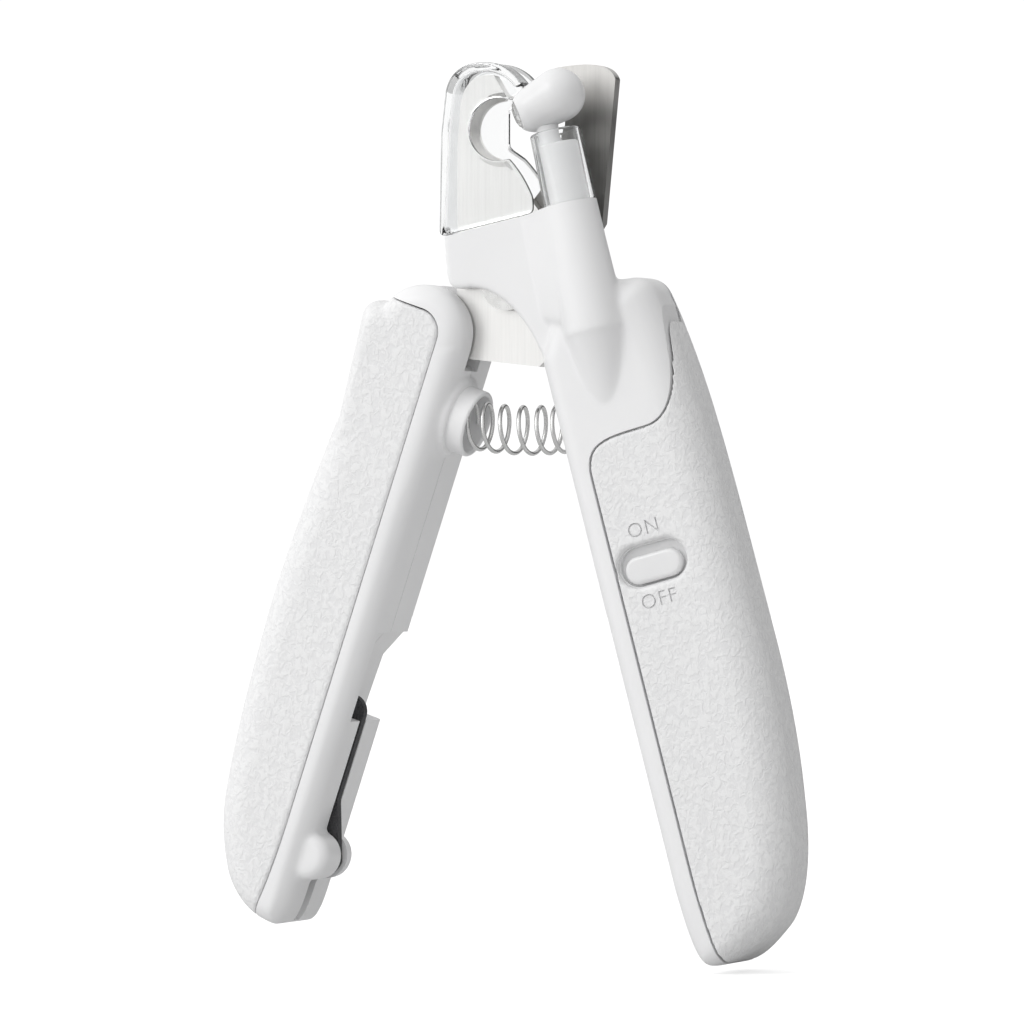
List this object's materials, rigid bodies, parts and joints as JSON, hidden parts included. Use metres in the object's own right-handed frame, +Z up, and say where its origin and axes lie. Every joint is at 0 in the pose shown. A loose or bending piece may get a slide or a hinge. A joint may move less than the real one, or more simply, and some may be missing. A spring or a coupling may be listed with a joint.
{
  "type": "pet nail clippers",
  "caption": "Plier-type pet nail clippers with a sprung pivot, notched blade under a clear nail catcher, aimed lamp with slide switch, and a fold-out nail file.",
  "frame": {"origin": "on the handles' pivot axis, in the flat back face of the lamp handle", "axes": "+Z up towards the blades with the handles hanging down, +X to the lamp handle's side, -Y the front that the switch and lamp are on"},
  "size_m": [0.1042, 0.0224, 0.1549],
  "materials": {
    "shell": "satin white moulded plastic",
    "grip": "fine leather grain, matt white",
    "blade_steel": "ground and brushed",
    "bright_steel": "plated hardware",
    "clear": "clear polycarbonate",
    "lamp_white": "smooth white",
    "lens": "frosted lens",
    "led": "clear amber-white epoxy",
    "file_steel": "dark abrasive",
    "spring_steel": "bright drawn wire",
    "board": "solder-masked laminate",
    "switch_case": "black moulding",
    "tray": "moulded plastic",
    "contact": "plated spring brass",
    "wire_red": "insulated wire"
  },
  "bodies": {
    "lamp_handle": {"lamp_handle_front_shell": "shell", "lamp_handle_back_shell": "shell", "lamp_grip_front": "grip", "lamp_grip_back": "grip", "fixed_blade": "blade_steel", "pivot_bolt": "bright_steel", "pivot_nut": "bright_steel", "pivot_washers": "bright_steel", "lamp_collar": "clear", "lamp_sleeve": "lamp_white", "lamp_neck": "lamp_white", "lamp_head": "lamp_white", "lamp_led": "led", "lamp_lens": "lens", "lamp_wires": "wire_red", "circuit_board": "board", "switch_body": "switch_case", "battery_tray": "tray", "button_cells": "bright_steel", "battery_contacts": "contact", "battery_door": "shell", "battery_door_screw": "bright_steel", "lamp_handle_screws": "bright_steel", "spring_seat": "shell", "handle_spring": "spring_steel"},
    "switch": {"switch_button": "shell"},
    "catcher": {"nail_catcher": "clear"},
    "file_handle": {"file_handle_front_shell": "shell", "file_handle_back_shell": "shell", "file_grip_front": "grip", "file_grip_back": "grip", "moving_blade": "blade_steel", "file_handle_screws": "bright_steel", "spring_cup": "shell", "file_pin": "bright_steel"},
    "file": {"nail_file": "file_steel"}
  },
  "joints": [
    {"name": "handle_pivot", "type": "hinge", "parent": "lamp_handle", "child": "file_handle", "pos_m": [0, -0.009, 0], "axis": [0, -1, 0], "range_deg": [0, 25], "stiffness_Nm_per_rad": 0.35, "springref_deg": -20.05, "deforming": ["handle_spring"]},
    {"name": "switch_slide", "type": "slide", "parent": "lamp_handle", "child": "switch", "axis": [-0.2588, 0, 0.9659], "range_m": [0, 0.0012]},
    {"name": "catcher_slide", "type": "slide", "parent": "lamp_handle", "child": "catcher", "axis": [0, 0, 1], "range_m": [0, 0.012]},
    {"name": "file_hinge", "type": "hinge", "parent": "file_handle", "child": "file", "pos_m": [-0.0364, -0.0086, -0.09875], "axis": [0, 1, 0], "range_deg": [0, 180]}
  ]
}
